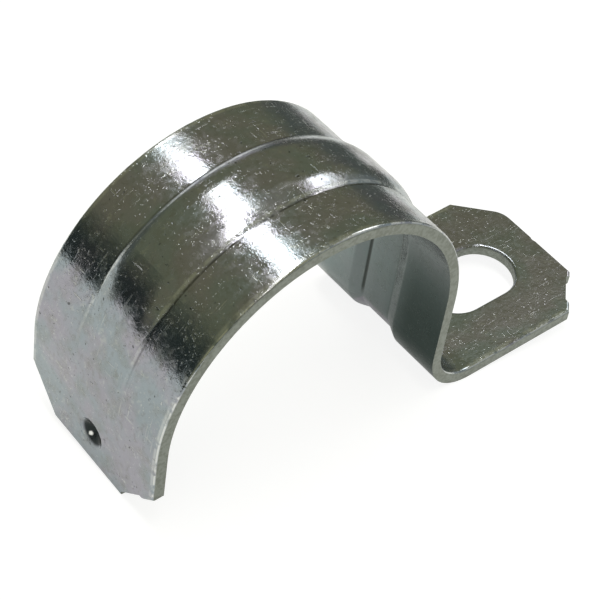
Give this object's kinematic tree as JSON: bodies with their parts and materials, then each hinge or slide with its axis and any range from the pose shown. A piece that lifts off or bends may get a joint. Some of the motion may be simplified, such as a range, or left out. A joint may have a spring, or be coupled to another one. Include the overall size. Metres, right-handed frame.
{
  "type": "conduit strap",
  "caption": "One-hole strap pressed from zinc-plated steel strip: a beaded half-round arch that hooks over electrical conduit, and a flat tab with a screw slot.",
  "frame": {"origin": "on the conduit's axis, midway across the strap's width", "axes": "+Y along the conduit, +X from the conduit towards the screw tab, +Z away from the wall that the tab is screwed to"},
  "size_m": [0.0691, 0.0222, 0.0384],
  "materials": {
    "zinc_plated_steel": "bright zinc plate, faintly mottled, with fine specks"
  },
  "bodies": {
    "root": {"strap": "zinc_plated_steel"}
  },
  "joints": []
}
